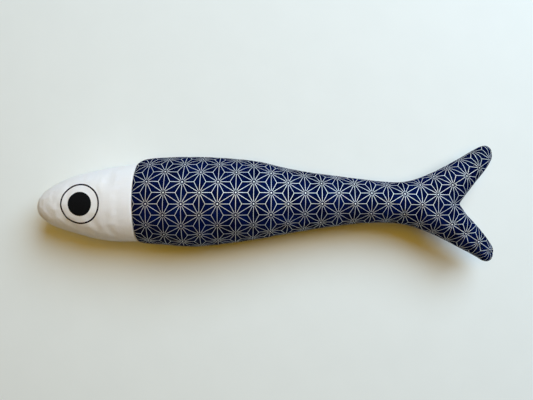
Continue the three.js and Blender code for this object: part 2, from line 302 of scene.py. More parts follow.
def panel_grid(ribs, neck_side):
    """The grid of one panel. neck_side is 1 where the panel lies behind the neck, -1 ahead of it."""
    curves = [rib_curve(*rib) for rib in zip(ribs.edge, ribs.spine, ribs.half)]
    grid = np.zeros((len(curves), RIB_POINTS, COLUMNS))
    grid[..., PLACE] = [points for points, _ in curves]
    grid[..., SEAM] = [steps for _, steps in curves]
    grid[..., NECK] = ((ribs.spine[:, 0] - NECK_X) * neck_side)[:, None]
    grid[..., ALONG] = distances_along(ribs.edge)[:, None]
    outward = unit(ribs.edge - ribs.spine)[:, None]
    length = grid[:, -1:, SEAM]
    grid[..., FLAT] = ribs.spine[:, None] + outward * (length - grid[..., SEAM])[..., None]
    draw_in_at_seams(grid, ribs)
    grid = add_edge_allowance(grid, ribs, outward)
    grid = add_neck_allowance(grid, ribs, neck_side)
    grid[..., 0] += neck_side * HALF_GAP * np.exp(-np.maximum(grid[..., NECK], 0) / GAP_REACH)
    grid[..., 2] += HALF_GAP * np.exp(-np.maximum(grid[..., SEAM], 0) / GAP_REACH)
    return grid


def inward_of(ribs):
    """Unit vectors in the mid-plane that point into the outline, square to it."""
    step = np.gradient(ribs.edge, axis=0)
    return unit(np.column_stack([step[:, 1], -step[:, 0], np.zeros(len(step))]))


def draw_in_at_seams(grid, ribs):
    """The valleys that the stitches pull into the cloth, along the long seam and round the neck."""
    dip = SEAM_DIP * np.exp(-((grid[..., SEAM] / DIP_REACH) ** 2))
    grid[..., PLACE] += inward_of(ribs)[:, None] * dip[..., None]
    axis = np.column_stack([ribs.spine, np.zeros(len(ribs.half))])[:, None]
    to_axis = unit((axis - grid[..., PLACE]) * (0, 1, 1))
    grid[..., PLACE] += to_axis * (NECK_DIP * np.exp(-((grid[..., NECK] / DIP_REACH) ** 2)))[..., None]


def add_edge_allowance(grid, ribs, outward):
    """Three more points on each rib, for the cloth turned in at the long seam."""
    strip = np.repeat(grid[:, :1], len(ALLOWANCE), 1)
    strip[..., PLACE] += inward_of(ribs)[:, None] * ALLOWANCE[:, None]
    strip[..., FLAT] += outward * ALLOWANCE[:, None]
    strip[..., SEAM] = -ALLOWANCE
    return np.concatenate([strip, grid], 1)


def add_neck_allowance(grid, ribs, neck_side):
    """Three more rows at each end of the grid, drawn in from the neck seam towards the middle."""
    def strip(end, steps):
        rows = np.repeat(grid[end][None], len(steps), 0)
        axis = np.array([0, ribs.spine[end, 1], 0])
        out = (rows[..., PLACE] - axis) * (0, 1, 1)
        size = np.maximum(np.linalg.norm(out, axis=-1, keepdims=True), 1e-6)
        rows[..., PLACE] -= out * np.minimum(steps[:, None, None] / size, 0.8)
        rows[..., FLAT] -= np.array([neck_side, 0]) * steps[:, None, None]
        rows[..., NECK] = -steps[:, None]
        return rows

    return np.concatenate([strip(0, ALLOWANCE), grid, strip(-1, ALLOWANCE[BACKWARDS])])


def grid_faces(grid):
    """Quads between neighbouring ribs and points, but not where two allowances would overlap."""
    ribs, points = grid.shape[:2]
    number = np.arange(ribs * points).reshape(ribs, points)
    corners = np.stack([number[:-1, :-1], number[:-1, 1:], number[1:, 1:], number[1:, :-1]], -1)
    low_seam = np.minimum(grid[:-1, :-1, SEAM], grid[1:, :-1, SEAM])
    low_neck = np.minimum(grid[:-1, :-1, NECK], grid[1:, :-1, NECK])
    return corners[~((low_seam < 0) & (low_neck < 0))]


WELDS_PER_MM = 1e4
OFF_TIES = 0.137  # keeps places away from where rounding could go either way


def weld(points, faces):
    """Joins points that share a place. Returns the points, and the faces with 3 or 4 corners."""
    keys = np.round(points[:, PLACE] * WELDS_PER_MM + OFF_TIES).astype(np.int64)
    _, keep, number = np.unique(keys, axis=0, return_index=True, return_inverse=True)
    faces = number.ravel()[faces]
    used = np.unique(faces)
    place = np.zeros(len(keep), int)
    place[used] = np.arange(len(used))
    corners = [list(dict.fromkeys(face)) for face in place[faces].tolist()]
    return points[keep[used]], [face for face in corners if len(face) > 2]


def held_pairs(faces):
    """Pairs of points that the cloth holds at their distance: sides of faces and diagonals."""
    pairs = {(min(a, b), max(a, b)) for face in faces for i, a in enumerate(face) for b in face[i + 1:]}
    return np.array(sorted(pairs)).T


FLATTEN_PULL = 1.6


def flatten(points, faces, rounds):
    """Spreads a curved panel flat, relaxing every length towards its length on the panel."""
    a, b = held_pairs(faces)
    wanted = np.linalg.norm(points[b, PLACE] - points[a, PLACE], axis=1)
    count = len(points)
    share = FLATTEN_PULL / np.bincount(np.concatenate([a, b]), minlength=count)
    for _ in range(rounds):
        step = points[b, FLAT] - points[a, FLAT]
        size = np.maximum(np.linalg.norm(step, axis=1), 1e-6)
        pull = step * ((size - wanted) / size / 2)[:, None]
        move = [np.bincount(a, way, count) - np.bincount(b, way, count) for way in pull.T]
        points[:, FLAT] += np.stack(move, 1) * share[:, None]


class Form:
    """A cloth panel's points and faces, shared by the left panel and its mirror image."""

    def __init__(self, ribs, neck_side, flatten_rounds):
        grid = panel_grid(ribs, neck_side)
        self.points, self.faces = weld(grid.reshape(-1, COLUMNS), grid_faces(grid))
        flatten(self.points, self.faces, flatten_rounds)


# ------------------------------ making pieces


def new_piece(name, points, faces, material):
    """A smooth-shaded mesh object from points in millimetres."""
    mesh = bpy.data.meshes.new(name)
    mesh.from_pydata((np.asarray(points) * MM).tolist(), [], [list(face) for face in faces])
    mesh.materials.append(material)
    mesh.shade_smooth()
    piece = bpy.data.objects.new(name, mesh)
    bpy.context.scene.collection.objects.link(piece)
    return piece


def belongs(piece, slot, *nodes):
    """The piece rides on the fish and stands for CAD nodes, whose parts it hides. slot is not used."""
    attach(piece, "root")
    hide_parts(*nodes)


def places(mesh):
    """The places of a mesh's points in millimetres."""
    flat = np.empty(len(mesh.vertices) * 3)
    mesh.vertices.foreach_get("co", flat)
    return flat.reshape(-1, 3) / MM


def set_places(mesh, points):
    mesh.vertices.foreach_set("co", (points * MM).ravel())
    mesh.update()


def normals(mesh):
    flat = np.empty(len(mesh.vertices) * 3)
    mesh.vertices.foreach_get("normal", flat)
    return flat.reshape(-1, 3)


def modify(piece, kind, **settings):
    """Adds a modifier, applies it and leaves none on the piece."""
    modifier = piece.modifiers.new(kind, kind)
    for key, value in settings.items():
        setattr(modifier, key, value)
    depsgraph = bpy.context.evaluated_depsgraph_get()
    evaluated = piece.evaluated_get(depsgraph)
    mesh = bpy.data.meshes.new_from_object(evaluated, preserve_all_data_layers=True, depsgraph=depsgraph)
    piece.modifiers.clear()
    old, name = piece.data, piece.data.name
    piece.data = mesh
    bpy.data.meshes.remove(old)
    mesh.name = name


def add_attribute(mesh, name, values):
    mesh.attributes.new(name, "FLOAT", "POINT").data.foreach_set("value", values)


def take_attribute(mesh, name):
    """Reads an attribute and removes it from the mesh."""
    values = np.empty(len(mesh.vertices))
    mesh.attributes[name].data.foreach_get("value", values)
    mesh.attributes.remove(mesh.attributes[name])
    return values


def add_map(mesh, name, coordinates):
    """A UV map that gives each point its place on the cloth."""
    corners = np.empty(len(mesh.loops), int)
    mesh.loops.foreach_get("vertex_index", corners)
    mesh.uv_layers.new(name=name).data.foreach_set("uv", coordinates[corners].ravel())


def noise_over(points):
    """Smooth noise from -1 to 1 at each row of points."""
    return np.array([noise.noise(Vector(point)) for point in points])


# ------------------------------ cloth that fills out

FIRM = {"head_cloth": 0.5, "printed_cloth": 1.0}  # how far, at most, the filling moves the cloth
SIM_FRAMES = 20


def fill_out(piece, held, firm):
    """Pressure inside stretches the cloth from the seams, where it stays held."""
    group = piece.vertex_groups.new(name="held")
    for weight in np.unique(held):
        group.add(np.flatnonzero(held == weight).tolist(), float(weight), "REPLACE")
    cloth = piece.modifiers.new("cloth", "CLOTH")
    cloth.settings.quality = 6
    cloth.settings.mass = 0.15
    cloth.settings.tension_stiffness = cloth.settings.compression_stiffness = 25
    cloth.settings.shear_stiffness = 12
    cloth.settings.bending_stiffness = 0.6
    cloth.settings.vertex_group_mass = group.name
    cloth.settings.shrink_min = -0.012
    cloth.settings.use_pressure = True
    cloth.settings.uniform_pressure_force = 4
    cloth.settings.effector_weights.gravity = 0
    cloth.collision_settings.use_collision = False
    before = places(piece.data)
    for frame_number in range(1, SIM_FRAMES + 1):
        bpy.context.scene.frame_set(frame_number)
    blown = piece.evaluated_get(bpy.context.evaluated_depsgraph_get())
    move = places(blown.data) - before
    size = np.linalg.norm(move, axis=1, keepdims=True)
    piece.modifiers.clear()
    piece.vertex_groups.clear()
    after = before + move * np.minimum(1, firm / np.maximum(size, 1e-6))
    set_places(piece.data, rest_on_table(after))
    bpy.context.scene.frame_set(1)


# ------------------------------ cloth panels

CLOTH_THICKNESS = 0.5
PUCKER_SPACING = 9
PUCKER_DEPTH = {"head_cloth": 0.12, "printed_cloth": 0.28}
PUCKER_REACH = 7
FULL_HOLD = 1.1  # more than 1, so that the cloth close to a seam is held fast too
HOLD_REACH = 24  # how far from a seam its hold on the cloth reaches
LEAST_HOLD = 0.1
EVEN_MARGIN = 8  # beside the long seam, where the filling's lumps don't show
FLAT_START, FLAT_REACH = 0.5, 4  # heights above the table at which lumps begin, and are full
TABLE_SOFTNESS = 0.8  # how gently the cloth bends where the flat that it rests on begins
TABLE_SINK = 0.24


def rest_on_table(points):
    """Places of the cloth, pressed flat softly where they would reach below the table."""
    z = points[:, 2]
    flat = (z + np.sqrt(z * z + 4 * TABLE_SOFTNESS ** 2)) / 2 - TABLE_SINK
    return np.column_stack([points[:, :2], flat])


def on_side(points, side):
    """Places from the mid-plane up, turned to one side of the fish and put in the frame."""
    return rest_on_table(points * (1, 1, side) + (0, 0, MID_Z))


def fade(distance):
    """How strong gathers are at a distance from their seam: 0 on it, strongest close by."""
    return 1.6 * np.clip(distance / 1.5, 0, 1) * np.exp(-np.maximum(distance, 0) / PUCKER_REACH)


def gathers(points, along, seam, neck, seed):
    """Where the seams draw gathers into the cloth, about 1 at their deepest."""
    rib = noise_over(np.column_stack([along / PUCKER_SPACING, seam / 60, np.full(len(along), seed)]))
    ring = noise_over(np.column_stack([np.full(len(along), seed + 7), points[:, 1:] / PUCKER_SPACING]))
    return np.maximum(rib, -0.15) * fade(seam) + np.maximum(ring, -0.15) * fade(neck)


def make_panel(name, form, side, material, node, slot, unevenness, maps):
    """One cloth panel: filled out, drawn into gathers, laid over its lumps of filling, and thickened."""
    faces = form.faces if side == LEFT else [face[BACKWARDS] for face in form.faces]
    piece = new_piece(name, on_side(form.points[:, PLACE], side), faces, material)
    mesh = piece.data
    seam, neck, along = (form.points[:, column] for column in (SEAM, NECK, ALONG))
    held = np.clip(FULL_HOLD - np.minimum(seam, neck) / HOLD_REACH, LEAST_HOLD, 1)
    fill_out(piece, np.round(held, 1), FIRM[slot])
    for key, coordinates in maps.items():
        add_map(mesh, key, coordinates(form.points[:, FLAT]))
    for key, values in (("seam", seam), ("neck", neck), ("along", along)):
        add_attribute(mesh, key, values)
    modify(piece, "SUBSURF", levels=1, render_levels=1)
    mesh = piece.data
    seam, neck, along = (take_attribute(mesh, key) for key in ("seam", "neck", "along"))
    points, outward = places(mesh), normals(mesh)
    puckers = PUCKER_DEPTH[slot] * gathers(points, along, seam, neck, 3.7 * side)
    lift = unevenness(points, neck) * np.clip(seam / EVEN_MARGIN, 0, 1) - puckers
    above_table = np.clip((points[:, 2] - FLAT_START) / FLAT_REACH, 0, 1)
    set_places(mesh, points + outward * (lift * above_table)[:, None])
    modify(piece, "SOLIDIFY", thickness=CLOTH_THICKNESS * MM, offset=-1)
    belongs(piece, slot, node)
    return piece


def body_unevenness(points, _neck):
    """Lumps of filling, a few centimetres across."""
    return 0.45 * noise_over(points / 34) + 0.2 * noise_over(points / 15)


def head_unevenness(points, neck):
    """The same, with soft folds that follow the neck seam where the head cloth gathers."""
    folds = noise_over(points * (0.11, 0.02, 0.02)) * np.exp(-(((neck - 24) / 18) ** 2))
    return 0.35 * noise_over(points / 30) + 0.55 * folds


# ------------------------------ the print

# The hemp-leaf lattice repeats along columns. Its maps count in repeats, so that the shader's
# stars stand on the points of a triangular lattice whose sides are 1.
COLUMN_WIDTH = 18.55
COLUMN_GROWTH, COLUMN_EASING = 0.00366, 0.000121  # how the columns close up along the body
ROW_HEIGHT = 23.0
STAR_AT = {LEFT: (-122.5, -0.2), RIGHT: (-130.0, 7.0)}
NECK_LEAN, LEAN_END_X, LEAN_LENGTH = 0.034, 20, 110  # the print leans a little at the neck
TAIL_RISE, RISE_START_X, RISE_LENGTH = 1.3, 125, 50  # and shifts a little on the tail stem
FLARE_START_X = 165  # from here the cloth is drawn out across its weave, into the two lobes
FLARE_SLANT = 0.0044
FLARE_SPREAD = 0.0022
STRAIGHT_BAND = 8  # on either side of the middle, where the columns stay straight
THREADS_PER_MM = 1.9


def print_map(side):
    """Where points of the flat cloth lie in the print, in repeats."""
    star_x, star_y = STAR_AT[side]

    def coordinates(flat):
        x, y = flat.T
        flare = np.maximum(x - FLARE_START_X, 0)
        lean = NECK_LEAN * np.clip((LEAN_END_X - x) / LEAN_LENGTH, 0, 1) * y
        slant = FLARE_SLANT * flare * np.maximum(np.abs(y) - STRAIGHT_BAND, 0)
        rise = TAIL_RISE * np.clip((x - RISE_START_X) / RISE_LENGTH, 0, 1)
        columns = (x - lean + slant - star_x) / COLUMN_WIDTH
        columns += COLUMN_GROWTH * columns ** 2 - COLUMN_EASING * columns ** 3
        rows = (y * (1 + FLARE_SPREAD * flare) + rise - star_y) / ROW_HEIGHT
        return np.column_stack([columns * math.sqrt(3) / 2, rows])

    return coordinates


def weave_map(flat):
    return flat * THREADS_PER_MM


# ------------------------------ materials


class Number:
    """A number that varies over a surface: a node's output, usable in plain arithmetic."""

    def __init__(self, tree, socket):
        self.tree, self.socket = tree, socket

    def math(self, operation, *others):
        node = self.tree.nodes.new("ShaderNodeMath")
        node.operation = operation
        for slot, value in zip(node.inputs, (self, *others)):
            feed(self.tree, slot, value)
        return Number(self.tree, node.outputs[0])

    def __add__(self, other):
        return self.math("ADD", other)

    def __sub__(self, other):
        return self.math("SUBTRACT", other)

    def __mul__(self, other):
        return self.math("MULTIPLY", other)

    def __truediv__(self, other):
        return self.math("DIVIDE", other)

    def __pow__(self, other):
        return self.math("POWER", other)

    __radd__, __rmul__ = __add__, __mul__

    def flipped(self):
        return self * -1 + 1

    def from_whole(self):
        """How far the number is from the nearest whole number."""
        return (self - self.math("ROUND")).math("ABSOLUTE")

    def ramp(self, start, end, low=0.0, high=1.0):
        """Goes smoothly from low to high while the number goes from start to end."""
        node = self.tree.nodes.new("ShaderNodeMapRange")
        node.interpolation_type = "SMOOTHSTEP"
        values = (self, start, end, low, high)
        for slot, value in zip(node.inputs, values):
            feed(self.tree, slot, value)
        return Number(self.tree, node.outputs[0])


def feed(tree, slot, value):
    if isinstance(value, Number):
        tree.links.new(value.socket, slot)
    else:
        slot.default_value = value


class Finish:
    """A material in the making: its node tree and the shader at its end."""

    def __init__(self, name, roughness, **settings):
        self.material = bpy.data.materials.new(name)
        self.material.use_nodes = True
        self.tree = self.material.node_tree
        self.shader = self.tree.nodes["Principled BSDF"]
        self.shader.inputs["Roughness"].default_value = roughness
        for key, value in settings.items():
            self.shader.inputs[key.replace("_", " ")].default_value = value

    def map(self, name):
        """The two coordinates of a UV map."""
        node = self.tree.nodes.new("ShaderNodeUVMap")
        node.uv_map = name
        return self.split(node.outputs[0])[:2]

    def place(self):
        """The three coordinates of a point of the fish, in millimetres."""
        node = self.tree.nodes.new("ShaderNodeTexCoord")
        return [number / MM for number in self.split(node.outputs["Object"])]

    def split(self, socket):
        node = self.tree.nodes.new("ShaderNodeSeparateXYZ")
        self.tree.links.new(socket, node.inputs[0])
        return [Number(self.tree, output) for output in node.outputs]

    def noise(self, parts, detail=2.0, roughness=0.5):
        """Noise from 0 to 1, whose grain is 1 in the given coordinates."""
        join = self.tree.nodes.new("ShaderNodeCombineXYZ")
        for slot, value in zip(join.inputs, parts):
            feed(self.tree, slot, value)
        node = self.tree.nodes.new("ShaderNodeTexNoise")
        node.inputs["Scale"].default_value = 1
        node.inputs["Detail"].default_value = detail
        node.inputs["Roughness"].default_value = roughness
        self.tree.links.new(join.outputs[0], node.inputs["Vector"])
        return Number(self.tree, node.outputs[0])

    def chance(self, number):
        """A random number from 0 to 1 for each whole number."""
        node = self.tree.nodes.new("ShaderNodeTexWhiteNoise")
        node.noise_dimensions = "1D"
        feed(self.tree, node.inputs["W"], number.math("FLOOR"))
        return Number(self.tree, node.outputs["Value"])

    def blend(self, factor, first, second):
        """A colour between two, each a colour or the output of another blend."""
        node = self.tree.nodes.new("ShaderNodeMix")
        node.data_type = "RGBA"
        feed(self.tree, node.inputs[0], factor)
        for slot, colour in ((node.inputs[6], first), (node.inputs[7], second)):
            if isinstance(colour, bpy.types.NodeSocket):
                self.tree.links.new(colour, slot)
            else:
                slot.default_value = (*colour, 1)
        return node.outputs[2]

    def shade(self, colour, amount):
        """A colour made lighter or darker by a number around 1."""
        node = self.tree.nodes.new("ShaderNodeMix")
        node.data_type = "RGBA"
        node.blend_type = "MULTIPLY"
        node.inputs[0].default_value = 1
        self.tree.links.new(colour, node.inputs[6])
        self.tree.links.new(amount.socket, node.inputs[7])
        return node.outputs[2]

    def set_colour(self, colour):
        self.tree.links.new(colour, self.shader.inputs["Base Color"])

    def set_roughness(self, number):
        self.tree.links.new(number.socket, self.shader.inputs["Roughness"])

    def set_relief(self, height):
        """Bumps from a height in millimetres."""
        node = self.tree.nodes.new("ShaderNodeBump")
        node.inputs["Distance"].default_value = MM
        feed(self.tree, node.inputs["Height"], height)
        self.tree.links.new(node.outputs[0], self.shader.inputs["Normal"])


def weave(finish):
    """A plain weave on the Weave map: its height from 0 to 1, and the tone of its threads."""
    u, v = finish.map("Weave")
    drift = finish.noise((u * 0.05, v * 0.05))
    u, v = u + drift * 0.8, v + drift * 0.6
    across, along = (u * math.pi).math("SINE"), (v * math.pi).math("SINE")
    over = (across * along).ramp(-0.3, 0.3)
    warp = across.math("ABSOLUTE") * along.math("ABSOLUTE") ** 0.35
    weft = along.math("ABSOLUTE") * across.math("ABSOLUTE") ** 0.35
    height = warp * over + weft * over.flipped()
    slubs = finish.noise((u, v * 0.03)) * over + finish.noise((u * 0.03, v)) * over.flipped()
    tone = slubs * 0.7 + (finish.chance(u) * over + finish.chance(v) * over.flipped()) * 0.3
    return height, tone


# The printed lattice, in repeats: the half-width of its lines and how softly they end, and the dot
# and the bare ring at the middle of each star. Its lines run in three directions.
HALF_LINE = 0.0102
LINE_SOFTNESS = 0.006
STAR_DOT = 0.037
STAR_RING = 0.102
TURNS = (0, math.pi / 3, 2 * math.pi / 3)


def hemp_leaf(finish, ragged):
    """1 on the printed lines, 0 between them. ragged moves the lines' edges in and out."""
    x, y = finish.map("Print")
    nearest = None
    for turn in TURNS:
        run = x * math.cos(turn) + y * math.sin(turn)
        rise = y * math.cos(turn) - x * math.sin(turn)
        side = (run * (2 / math.sqrt(3))).from_whole() * (math.sqrt(3) / 2)
        row = (rise * 2).math("ROUND")
        beyond = ((run * (1 / math.sqrt(3)) + row * 0.5).from_whole() - 1 / 3) * math.sqrt(3)
        spoke = (rise - row * 0.5).math("ABSOLUTE").math("MAXIMUM", beyond)
        family = side.math("MINIMUM", spoke)
        nearest = family if nearest is None else nearest.math("MINIMUM", family)
    column = x * (2 / math.sqrt(3))
    row = y - column * 0.5
    off_column, off_row = column - column.math("ROUND"), row - row.math("ROUND")
    star_x, star_y = off_column * (math.sqrt(3) / 2), off_row + off_column * 0.5
    from_star = (star_x * star_x + star_y * star_y).math("SQRT")
    edge = nearest - HALF_LINE + ragged
    lines = edge.ramp(-LINE_SOFTNESS, LINE_SOFTNESS, 1.0, 0.0)
    outside = from_star.ramp(STAR_RING - 2 * LINE_SOFTNESS, STAR_RING + LINE_SOFTNESS)
    dot = from_star.ramp(STAR_DOT - LINE_SOFTNESS, STAR_DOT + LINE_SOFTNESS, 1.0, 0.0)
    return (lines * outside).math("MAXIMUM", dot)


NAVY = (0.0001, 0.0007, 0.011)
NAVY_WORN = (0.0004, 0.0080, 0.076)
PRINT_INK = (0.93, 0.96, 0.98)
PRINT_INK_THIN = (0.80, 0.83, 0.85)
INK_PEARL = 0.62  # how metallic the ink looks


def printed_cotton():
    finish = Finish("printed_cotton", 0.8, Sheen_Weight=0.006, Sheen_Roughness=0.4)
    finish.shader.inputs["Sheen Tint"].default_value = (0.35, 0.45, 0.75, 1)
    finish.shader.inputs["Specular IOR Level"].default_value = 0.01
    height, tone = weave(finish)
    x, y = finish.map("Print")
    blotches = finish.noise((x * 0.9, y * 0.9), detail=3.0)
    lines = hemp_leaf(finish, (tone - 0.5) * 0.012 + (height - 0.5) * 0.004)
    dyed = finish.blend((tone * 0.6 + blotches * 0.7).ramp(0.35, 1.0), NAVY, NAVY_WORN)
    inked = finish.blend((tone * 0.8 + height * 0.4).ramp(0.25, 0.9), PRINT_INK_THIN, PRINT_INK)
    # The colour is darkened in the low points of the weave: painted shade between the threads.
    finish.set_colour(finish.shade(finish.blend(lines, dyed, inked), height * 0.25 + 0.8))
    finish.set_roughness(lines * -0.36 + 0.86)
    feed(finish.tree, finish.shader.inputs["Metallic"], lines * INK_PEARL)
    finish.set_relief(height * 0.07 + lines * 0.03)
    return finish.material


COTTON = (0.90, 0.882, 0.905)
COTTON_WARM = (0.865, 0.84, 0.85)


def white_cotton():
    finish = Finish("white_cotton", 0.85, Sheen_Weight=0.2, Sheen_Roughness=0.5)
    finish.shader.inputs["Specular IOR Level"].default_value = 0.2
    finish.shader.inputs["Subsurface Weight"].default_value = 0.12
    finish.shader.inputs["Subsurface Radius"].default_value = (0.9, 0.75, 0.6)
    finish.shader.inputs["Subsurface Scale"].default_value = 2 * MM
    height, tone = weave(finish)
    x, y, z = finish.place()
    blotches = finish.noise((x / 26, y / 26, z / 26), detail=3.0)
    colour = finish.blend((tone * 0.4 + blotches * 0.8).ramp(0.35, 0.95), COTTON_WARM, COTTON)
    # The colour is darker in the low points of the weave, as painted shade between the threads, and varies
    # with each thread's own tone.
    finish.set_colour(finish.shade(colour, height * 0.06 + tone * 0.04 + 0.92))
    finish.set_relief(height * 0.08 + tone * 0.03)
    return finish.material


PATCH_BLACK = (0.0025, 0.0025, 0.003)
PATCH_NAP = (0.010, 0.010, 0.011)


def black_patch():
    """A brushed black cotton, close and matt."""
    finish = Finish("black_patch", 0.9, Sheen_Weight=0.015, Sheen_Roughness=0.6)
    finish.shader.inputs["Specular IOR Level"].default_value = 0.04
    x, y, z = finish.place()
    nap = finish.noise((x * 2.2, y * 0.9, z * 2.2), detail=4.0, roughness=0.65)
    twill = ((x + y * 1.4) * (math.pi * 1.5)).math("SINE") * 0.5 + 0.5
    finish.set_colour(finish.blend((nap * 0.8 + twill * 0.2).ramp(0.3, 0.8), PATCH_BLACK, PATCH_NAP))
    finish.set_relief(nap * 0.12 + twill * 0.04)
    return finish.material


def satin_thread(name, dark, light, roughness, sheen):
    """Twisted sewing thread: plies that catch the light along its run."""
    finish = Finish(name, roughness, Sheen_Weight=sheen, Sheen_Roughness=0.3)
    finish.shader.inputs["Specular IOR Level"].default_value = 0.15
    x, y, z = finish.place()
    plies = ((x + y + z) * 9.0).math("SINE") * 0.5 + 0.5
    fuzz = finish.noise((x * 4, y * 4, z * 4), detail=3.0)
    finish.set_colour(finish.blend((plies * 0.5 + fuzz * 0.6).ramp(0.2, 0.9), dark, light))
    finish.set_relief(plies * 0.05 + fuzz * 0.05)
    return finish.material


def polyester_fibre():
    """Loose white filling: fine fibres lying in every direction."""
    finish = Finish("polyester_fibre", 0.7, Sheen_Weight=0.5, Sheen_Roughness=0.5)
    x, y, z = finish.place()
    wander = finish.noise((x / 7, y / 7, z / 7)) * 9
    fibres = finish.noise((x * 0.4 + wander, y * 3 + wander, z * 3), detail=5.0, roughness=0.7)
    finish.set_colour(finish.blend(fibres.ramp(0.25, 0.8), (0.68, 0.68, 0.67), (0.87, 0.87, 0.86)))
    finish.set_relief(fibres * 0.5)
    return finish.material


# Far from the middle the floor glows: painted light, which carries it evenly into the pale backdrop.
FAR_FLOOR = (900, 2900)  # where the floor, far from the lights, begins and ends to glow instead
FAR_FLOOR_GLOW = (0.60, 0.66, 0.65)


def plain_floor():
    """A pale matt board with the faintest grain. Far from the middle it glows: painted light in place of
    the lamps' light.
    """
    finish = Finish("floor", 0.75)
    finish.shader.inputs["Specular IOR Level"].default_value = 0.2
    x, y, z = finish.place()
    grain = finish.noise((x / 40, y / 40, z), detail=4.0)
    finish.set_colour(finish.blend(grain.ramp(0.2, 0.8), (0.775, 0.80, 0.80), (0.79, 0.815, 0.815)))
    from_middle = (x * x + y * y).math("SQRT")
    feed(finish.tree, finish.shader.inputs["Emission Strength"], from_middle.ramp(*FAR_FLOOR))
    finish.shader.inputs["Emission Color"].default_value = (*FAR_FLOOR_GLOW, 1)
    return finish.material


# ------------------------------ eyes

EYE_SECTORS = 180
PATCH_RISE = 0.42
PATCH_SUNK = 0.2  # how far the undersides of the patch and the ring reach below the cloth's face
# From the patch's rim to its middle: the size of each ring of points, and how high the rim's stand.
PATCH_SIZES = [0.97, 1.0, 0.995, 0.975, 0.94, 0.88, 0.75, 0.55, 0.35, 0.2]
PATCH_RIM = [-PATCH_SUNK, 0, 0.2, 0.34, 0.41]
PATCH_TUCKS = 30
TUCK_IN, TUCK_DOWN = 0.006, 0.05  # how far a tuck draws the rim in, as a share of its size, and down
RING_WIDTH = 1.7
RING_RISE = 0.5
RING_SIDES = 12
RING_SECTORS = EYE_SECTORS * 2  # two to each stitch
RING_RAGGED = 0.08
STITCH_RELIEF = 0.14  # how much lower the ring is between two stitches, as a share of its rise


class Surface:
    """The outside of a cloth panel, to lay things on."""

    def __init__(self, piece, side):
        mesh = piece.data
        faces = [face.vertices[:] for face in mesh.polygons]
        self.tree = BVHTree.FromPolygons([point.co for point in mesh.vertices], faces)
        self.side = side

    def lay(self, plan, lifts):
        """Points above or below each place of the plan, lifted off the cloth along its normal."""
        laid = []
        for (x, y), lift in zip(plan, lifts):
            start = Vector((x * MM, y * MM, (MID_Z + self.side * FISH_LENGTH) * MM))
            place, normal, _, _ = self.tree.ray_cast(start, Vector((0, 0, -self.side)))
            laid.append(np.array(place) / MM + np.array(normal) * lift)
        return np.array(laid)


def sector_faces(rings, sectors, side, closed=False):
    """Quads between rings of points, each ring with the next, and the last with the first if closed."""
    faces = []
    for ring in range(rings if closed else rings - 1):
        here, after = ring * sectors, (ring + 1) % rings * sectors
        for i in range(sectors):
            j = (i + 1) % sectors
            face = (here + i, here + j, after + j, after + i)
            faces.append(face if side == LEFT else face[BACKWARDS])
    return faces


def oval_ring(middle, radii, angles):
    return middle + radii * np.stack([np.cos(angles), np.sin(angles)], -1)


def make_pupil(surface, material):
    """A round cloth patch: flat on top, turned under at its rim, with a small tuck at each stitch."""
    side = surface.side
    name = "pupil_" + SIDE_NAMES[side]
    middle, radii = oval(name)
    angles = np.arange(EYE_SECTORS) * (2 * math.pi / EYE_SECTORS)
    lifts = PATCH_RIM + [PATCH_RISE] * (len(PATCH_SIZES) - len(PATCH_RIM))
    tuck = 0.5 + 0.5 * np.cos(angles * PATCH_TUCKS)
    points = []
    for size, lift in zip(PATCH_SIZES, lifts):
        rim = np.clip((size - 0.9) / 0.1, 0, 1)
        plan = oval_ring(middle, (radii * size)[None] * (1 - TUCK_IN * tuck * rim)[:, None], angles)
        points.append(surface.lay(plan, lift - TUCK_DOWN * tuck * rim))
    faces = sector_faces(len(PATCH_SIZES), EYE_SECTORS, side)
    last = (len(PATCH_SIZES) - 1) * EYE_SECTORS
    caps = [list(range(EYE_SECTORS)), list(range(last, last + EYE_SECTORS))[BACKWARDS]]
    faces += caps if side == RIGHT else [cap[BACKWARDS] for cap in caps]
    piece = new_piece(name + "_patch", np.concatenate(points), faces, material)
    belongs(piece, "pupil", name)


def make_eye_ring(surface, material):
    """A ring of close satin stitches laid across its width, each a rounded thread."""
    side = surface.side
    name = "eye_ring_" + SIDE_NAMES[side]
    middle, outer = oval(name)
    angles = np.arange(RING_SECTORS) * (2 * math.pi / RING_SECTORS)
    between = 1 - np.arange(RING_SECTORS) % 2
    circle = oval_ring(0, 1, angles)
    ragged = noise_over(np.column_stack([circle, np.full(RING_SECTORS, 0.5 * side)]) * 9)
    points = []
    for turn in np.linspace(0, 2 * math.pi, RING_SIDES, endpoint=False):
        reach, rise = math.cos(turn), math.sin(turn)
        width = RING_WIDTH / 2 * (reach * (1 + RING_RAGGED * ragged))
        plan = middle + circle * (outer - RING_WIDTH / 2 + width[:, None])
        height = RING_RISE * max(rise, 0) * (1 - STITCH_RELIEF * between) + PATCH_SUNK * min(rise, 0)
        points.append(surface.lay(plan, height))
    faces = sector_faces(RING_SIDES, RING_SECTORS, side, closed=True)
    piece = new_piece(name + "_stitching", np.concatenate(points), faces, material)
    belongs(piece, "eye_ring", name)


# ------------------------------ threads

THREAD_RADIUS = 0.2
HAND_THREAD_RADIUS = 0.26
STITCH_LENGTH = 3.0
STITCH_SWING = 0.6  # how far each stitch runs to either side of its seam
SEAM_DEPTH = 1.3  # how deep the thread lies below the bottom of the seam's valley
STEPS_PER_STITCH = 8
GAP_START_X, GAP_END_X = -66, 6
GAP_MARGIN = 4  # between the gap's ends and the machine stitches
LADDER_STITCHES = 14
LADDER_REACH = 1.5  # from the seam's middle to where a ladder stitch enters a panel
RUNG_RISE, RUN_DEPTH = 0.55, 0.2  # how far rungs stand over the seam, and how deep runs lie
LADDER_STEPS = 10
NECK_START_ANGLE, NECK_STEPS = 0.06, 40  # the angle, from the mid-plane, keeps clear of the long seam


